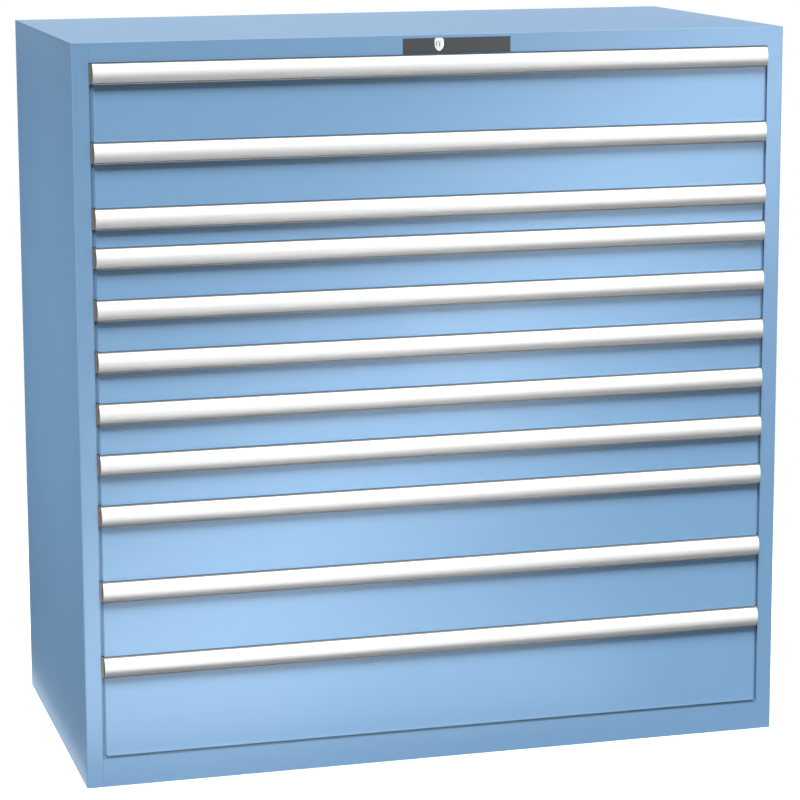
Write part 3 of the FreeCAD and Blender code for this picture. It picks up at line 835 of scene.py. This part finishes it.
def buildCabinetRail():
    r = runner
    start = housingFront + r["cabinetStart"]
    end = start + r["cabinetLength"]
    rail = channelRail("cabinetRail", cabinetWeb, cabinetWeb - r["cabinetDepth"], start, end)
    radius = r["middleHeight"] / 2 - r["middleFlange"] - r["play"]
    tyre = flip(rollerOn("cabinetRoller", -(cabinetWeb - r["sheet"]),
                         -(webMiddle + r["web"] / 2 + r["sidePlay"] + r["pinRoom"]), start + r["inset"],
                         radius))
    return rail, tyre


def bothSides(name, steel, rollers):
    # joins the rails and rollers of the right side, keeps their two materials, and adds the left side
    for piece in steel:
        paint(piece, zincSteel)
    for piece in rollers:
        paint(piece, rollerSteel)
    right = joinPieces(name, *steel, *rollers)
    left = mirroredCopy(right, name + "Left")
    return right, left


drawerRail, drawerRoller = buildDrawerRail()
hookCatch = block("catch", (drawerWeb, housingFront + catch["start"], railZ + catch["low"]),
                  (drawerWeb + catch["reach"], housingFront + catch["end"], railZ + catch["high"]),
                  catch["edge"])
right, left = bothSides("drawerRails", [drawerRail], [drawerRoller])
paint(hookCatch, zincSteel)
drawerRailsModel = joinPieces("drawerRails", right, left, hookCatch)
steel, rollers = buildMiddleRail()
right, left = bothSides("middleRails", steel, rollers)
middleModel = joinPieces("middleRails", right, left)
rail, tyre = buildCabinetRail()
cabinetRight, cabinetLeft = bothSides("cabinetRail", [rail], [tyre])
print("runners modelled")

# Uprights with their slots

upright = {
    "pitch": 25 * mm, "slot": (6 * mm, 14 * mm), "sheet": 1.5 * mm, "width": 30 * mm, "weld": 0.1 * mm,
}


def buildUpright():
    # one column: slotted web towards the drawers and two flanges towards the side sheet
    u = upright
    x = uprightLow.x
    rise = uprightHigh.z - uprightLow.z
    count = int(rise / u["pitch"])
    y0 = uprightLow.y
    clearSelection()
    bpy.ops.mesh.primitive_plane_add(size=1, location=(x, y0 + u["width"] / 2, uprightLow.z + u["pitch"] / 2),
                                     rotation=(0, math.pi / 2, 0))
    cell = bpy.context.object
    bpy.ops.transform.resize(value=(1, u["width"], u["pitch"]))
    applyPlace(cell)
    middleY = y0 + u["width"] / 2
    middleZ = uprightLow.z + u["pitch"] / 2
    wide, tall = u["slot"]
    cuts = [((0, middleY + s * wide / 2, 0), (0, 1, 0)) for s in (-1, 1)]
    cuts += [((0, 0, middleZ + s * tall / 2), (0, 0, 1)) for s in (-1, 1)]
    for spot, normal in cuts:
        editing(cell)
        bpy.ops.mesh.select_all(action="SELECT")
        bpy.ops.mesh.bisect(plane_co=spot, plane_no=normal)
        leaveEditing()
    pick(cell, "FACE", lambda p: abs(p.y - middleY) < wide / 2 and abs(p.z - middleZ) < tall / 2)
    bpy.ops.mesh.delete(type="FACE")
    leaveEditing()
    modifier(cell, "ARRAY", count=count, use_relative_offset=False, use_constant_offset=True,
             constant_offset_displace=(0, 0, u["pitch"]), use_merge_vertices=True, merge_threshold=u["weld"])
    flange = uprightHigh.x - x
    for edge in (y0, y0 + u["width"]):
        pick(cell, "EDGE", lambda p: abs(p.y - edge) < touching)
        bpy.ops.mesh.extrude_region_move(TRANSFORM_OT_translate={"value": (flange, 0, 0)})
        leaveEditing()
    outward(cell)
    modifier(cell, "SOLIDIFY", thickness=u["sheet"], offset=0)
    outward(cell)
    cell.name = "upright"
    return cell


uprightFront = buildUpright()
rearShift = uprightHigh.y - uprightLow.y - upright["width"]
uprightRear = moved(uprightFront, "uprightRear", (0, rearShift, 0))
uprightsRight = joinPieces("uprightsRight", uprightFront, uprightRear)
uprightsLeft = mirroredCopy(uprightsRight, "uprightsLeft")
dress(uprightsRight, zincSteel, "housing", "uprights_right")
dress(uprightsLeft, zincSteel, "housing", "uprights_left")
print("uprights made")

# Every drawer gets copies of the models, and so do the runners

cabinetRails = {"Right": [], "Left": []}
for number in drawers:
    low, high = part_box("drawer_front_" + number)
    height = round(high.z - low.z, 5)
    drop = (0, 0, high.z - frontHigh.z)
    footDrop = (0, 0, low.z - frontLow.z)
    body = "drawer_" + number
    for model, name, material, slot, node in (
            (frontModels[height], "front", frontPaint, "front_paint", "drawer_front_"),
            (flangeModels[height], "frontFlanges", shadedGapPaint, "front_paint", "drawer_front_"),
            (profileModel, "handleProfile", profileGrey, "handle_aluminium", "drawer_handle_"),
            (labelModel, "handleLabel", labelStrip, "handle_aluminium", "drawer_handle_"),
            (capsModel, "handleCaps", capPlastic, "handle_aluminium", "drawer_handle_"),
            (trayModels[height], "tray", trayPaint, "tray_paint", "drawer_tray_")):
        dress(moved(model, name + number, drop), material, body, node + number)
    carry(moved(drawerRailsModel, "drawerRails" + number, footDrop), body,
          "drawer_tray_" + number)
    carry(moved(middleModel, "middleRails" + number, footDrop), "middle_" + number,
          "runner_middle_" + number)
    cabinetRails["Right"].append(moved(cabinetRight, "cabinetRail", footDrop))
    cabinetRails["Left"].append(moved(cabinetLeft, "cabinetRail", footDrop))
for side, pieces in cabinetRails.items():
    carry(joinPieces("cabinetRails" + side, *pieces), "housing",
          "cabinet_rails_" + side.lower())
for model in (*frontModels.values(), *flangeModels.values(), *trayModels.values(), profileModel, labelModel,
              capsModel, drawerRailsModel, middleModel, cabinetRight, cabinetLeft):
    bpy.data.objects.remove(model)
print("drawers and runners placed")

# Lock

lock = {"coverEdge": 0.35 * mm, "shieldEdge": 0.5 * mm, "plugEdge": 0.15 * mm}
dress(softenedCopy("lock_cover", "lockCover", lock["coverEdge"]), coverPlastic, "housing",
      "lock_cover")
dress(softenedCopy("lock_shield", "lockShield", lock["shieldEdge"], 3), shieldMetal, "housing",
      "lock_shield")
dress(softenedCopy("lock_plug", "lockPlug", lock["plugEdge"]), plugMetal, "lock_plug",
      "lock_plug")
for node in ("lock_barrel", "lock_rod", "lock_bar", "lock_guides"):
    nodes[node].data.materials.clear()
    nodes[node].data.materials.append(zincSteel)
print("lock made")

# Stage: pale floor, soft lamps and the photograph's camera

stage = {
    "floor": 14.0, "floorColour": (0.1, 0.1, 0.1, 1), "floorSeen": (0.92, 0.92, 0.92, 1), "world": 0.12,
    "whiteFrom": 0.8, "whiteTo": 2.4,
}
white = (1, 1, 1, 1)


def seenShare(tree):
    # 1 for what the camera, a reflection or a clear piece shows, and 0 for the light on the object
    link = tree.links.new
    paths = tree.nodes.new("ShaderNodeLightPath")
    some = place(tree, "ShaderNodeMath", operation="ADD")
    link(paths.outputs["Is Camera Ray"], some.inputs[0])
    link(paths.outputs["Is Glossy Ray"], some.inputs[1])
    both = place(tree, "ShaderNodeMath", operation="ADD", use_clamp=True)
    link(some.outputs["Value"], both.inputs[0])
    link(paths.outputs["Is Transmission Ray"], both.inputs[1])
    return both.outputs["Value"]


def buildFloor():
    # pale paper that keeps the object's shadow and turns white away from it
    clearSelection()
    bpy.ops.mesh.primitive_plane_add(size=stage["floor"], location=(0, 0, 0))
    floor = bpy.context.object
    floor.name = "floor"
    material = bpy.data.materials.new("floorPaper")
    material.use_nodes = True
    tree = material.node_tree
    surface = tree.nodes["Principled BSDF"]
    surface.inputs["Roughness"].default_value = 0.9
    surface.inputs["Specular IOR Level"].default_value = 0.1
    shades = place(tree, "ShaderNodeMix", data_type="RGBA")
    shades.inputs["A"].default_value = stage["floorColour"]
    shades.inputs["B"].default_value = stage["floorSeen"]
    glow = place(tree, "ShaderNodeEmission", Color=white, Strength=1.0)
    mix = tree.nodes.new("ShaderNodeMixShader")
    where = tree.nodes.new("ShaderNodeTexCoord")
    reach = place(tree, "ShaderNodeVectorMath", operation="LENGTH")
    fade = place(tree, "ShaderNodeMapRange", **{"From Min": stage["whiteFrom"], "From Max": stage["whiteTo"]})
    share = place(tree, "ShaderNodeMath", operation="MULTIPLY")
    seen = seenShare(tree)
    link = tree.links.new
    link(where.outputs["Object"], reach.inputs[0])
    link(reach.outputs["Value"], fade.inputs["Value"])
    link(seen, shades.inputs["Factor"])
    link(shades.outputs["Result"], surface.inputs["Base Color"])
    link(seen, share.inputs[0])
    link(fade.outputs["Result"], share.inputs[1])
    link(share.outputs["Value"], mix.inputs["Fac"])
    link(surface.outputs["BSDF"], mix.inputs[1])
    link(glow.outputs["Emission"], mix.inputs[2])
    link(mix.outputs["Shader"], tree.nodes["Material Output"].inputs["Surface"])
    floor.data.materials.append(material)


def buildWorld():
    world = bpy.data.worlds.new("studio")
    bpy.context.scene.world = world
    world.use_nodes = True
    tree = world.node_tree
    surround = tree.nodes["Background"]
    surround.inputs["Color"].default_value = white
    surround.inputs["Strength"].default_value = stage["world"]
    backdrop = place(tree, "ShaderNodeBackground", Color=white, Strength=1.0)
    mix = tree.nodes.new("ShaderNodeMixShader")
    link = tree.links.new
    link(seenShare(tree), mix.inputs["Fac"])
    link(surround.outputs["Background"], mix.inputs[1])
    link(backdrop.outputs["Background"], mix.inputs[2])
    link(mix.outputs["Shader"], tree.nodes["World Output"].inputs["Surface"])


def lamp(name, spot, aim, size, power, along=(1, 0, 0), hidden=()):
    # an area lamp whose length lies along the given direction, and which some rays don't see
    clearSelection()
    bpy.ops.object.light_add(type="AREA", location=spot)
    made = bpy.context.object
    made.name = name
    made.data.shape = "RECTANGLE"
    made.data.size, made.data.size_y = size
    made.data.energy = power
    back = (Vector(spot) - Vector(aim)).normalized()
    across = back.cross(Vector(along)).normalized()
    made.rotation_mode = "QUATERNION"
    made.rotation_quaternion = Matrix((across.cross(back), across, back)).transposed().to_quaternion()
    for rays in ("camera", *hidden):
        setattr(made, "visible_" + rays, False)


def highLamp(name, direction, spread, strength):
    # soft light from far above the front, which throws the shadows of the handles
    clearSelection()
    bpy.ops.object.light_add(type="SUN", location=4 * Vector(direction))
    made = bpy.context.object
    made.name = name
    made.data.angle = math.radians(spread)
    made.data.energy = strength
    made.rotation_mode = "QUATERNION"
    made.rotation_quaternion = Vector(direction).to_track_quat("Z", "Y")


def netCloth(thinness):
    material = bpy.data.materials.new("netCloth")
    material.use_nodes = True
    tree = material.node_tree
    holes = place(tree, "ShaderNodeBsdfTransparent", Color=(thinness, thinness, thinness, 1))
    tree.links.new(holes.outputs["BSDF"], tree.nodes["Material Output"].inputs["Surface"])
    return material


def flagCloth(shade):
    material = bpy.data.materials.new("flagCloth")
    material.use_nodes = True
    surface = material.node_tree.nodes["Principled BSDF"]
    surface.inputs["Base Color"].default_value = (shade, shade, shade, 1)
    surface.inputs["Roughness"].default_value = 1.0
    surface.inputs["Specular IOR Level"].default_value = 0.0
    return material


def buildCard(name, middle, size, tilt, material, metBy):
    # a card of the studio, which only one kind of rays meets
    clearSelection()
    bpy.ops.mesh.primitive_plane_add(size=1, location=(0, 0, 0))
    card = bpy.context.object
    card.name = name
    bpy.ops.transform.resize(value=(size[0], size[1], 1))
    bpy.ops.transform.rotate(value=tilt, orient_axis="X", center_override=(0, 0, 0))
    bpy.ops.transform.translate(value=middle)
    applyPlace(card)
    card.data.materials.append(material)
    for rays in ("camera", "diffuse", "glossy", "shadow", "transmission", "volume_scatter"):
        setattr(card, "visible_" + rays, rays == metBy)


key = {"direction": (-0.13, -0.40, 0.907), "spread": 20, "strength": 5.6}
lamps = {
    "sideLamp": {"spot": (-2.05, 0.0, 0.82), "aim": (-0.715, 0.0, 0.8), "size": (0.6, 0.6), "power": 10.5,
                 "hidden": ["glossy"]},
    "fillLamp": {"spot": (3.0, -3.0, 0.9), "aim": (0.5, -0.35, 0.5), "size": (1.4, 0.6), "power": 10},
    "rearLamp": {"spot": (0.6, 6.0, 2.4), "aim": (0, 0.37, 0.7), "size": (2.5, 2.0), "power": 280,
                 "hidden": ["glossy"]},
    "rightLamp": {"spot": (5.5, 0.9, 2.2), "aim": (0.715, 0, 0.7), "size": (2.0, 2.0), "power": 170,
                  "hidden": ["glossy"]},
    "stripLamp": {"spot": (0.25, -1.09, 0.70), "aim": (-0.029, -0.148, 0.892), "size": (2.65, 0.4),
                  "power": 54, "along": (0.791, -0.297, 0.534), "hidden": ["diffuse"]},
    "lowLamp": {"spot": (-0.2, -0.88, 0.012), "aim": (-0.2, -0.88, 1.0), "size": (1.4, 0.6), "power": 27,
                "hidden": ["diffuse"]},
}
net = {"middle": (0, 0.02, 1.462), "size": (1.44, 0.74), "thinness": 0.5}
flags = {
    "leftFlag": {"middle": (-1.35, 1.0, 0.65), "size": (1.7, 1.5), "tilt": math.pi / 2},
    "floorFlag": {"middle": (-1.5, 0.3, 0.003), "size": (1.5, 2.2), "tilt": 0},
}
flagShade = 0.02

buildFloor()
buildWorld()
highLamp("keyLamp", **key)
for name, values in lamps.items():
    lamp(name, **values)
# the net holds back part of the light on the top, and the sheen alone shows the dark flags
buildCard("topNet", net["middle"], net["size"], 0, netCloth(net["thinness"]), "shadow")
for name, values in flags.items():
    buildCard(name, material=flagCloth(flagShade), metBy="glossy", **values)

camera = {
    "place": (-1.573, -5.664, 1.831), "lens": 128.85, "sensor": 36, "yaw": 14.9, "pitch": 9.62,
    "roll": -0.31, "shift": (0.05, -0.1),
}


def buildCamera():
    clearSelection()
    bpy.ops.object.camera_add(location=camera["place"])
    made = bpy.context.object
    yaw, pitch = math.radians(camera["yaw"]), math.radians(camera["pitch"])
    forward = Vector((math.sin(yaw) * math.cos(pitch), math.cos(yaw) * math.cos(pitch), -math.sin(pitch)))
    roll = Matrix.Rotation(math.radians(camera["roll"]), 3, "Z").to_quaternion()
    made.rotation_mode = "QUATERNION"
    made.rotation_quaternion = forward.to_track_quat("-Z", "Y") @ roll
    made.data.sensor_width = camera["sensor"]
    made.data.lens = camera["lens"]
    made.data.shift_x, made.data.shift_y = camera["shift"]
    bpy.context.scene.camera = made


buildCamera()
bpy.context.scene.view_settings.view_transform = "Standard"
print("stage ready")
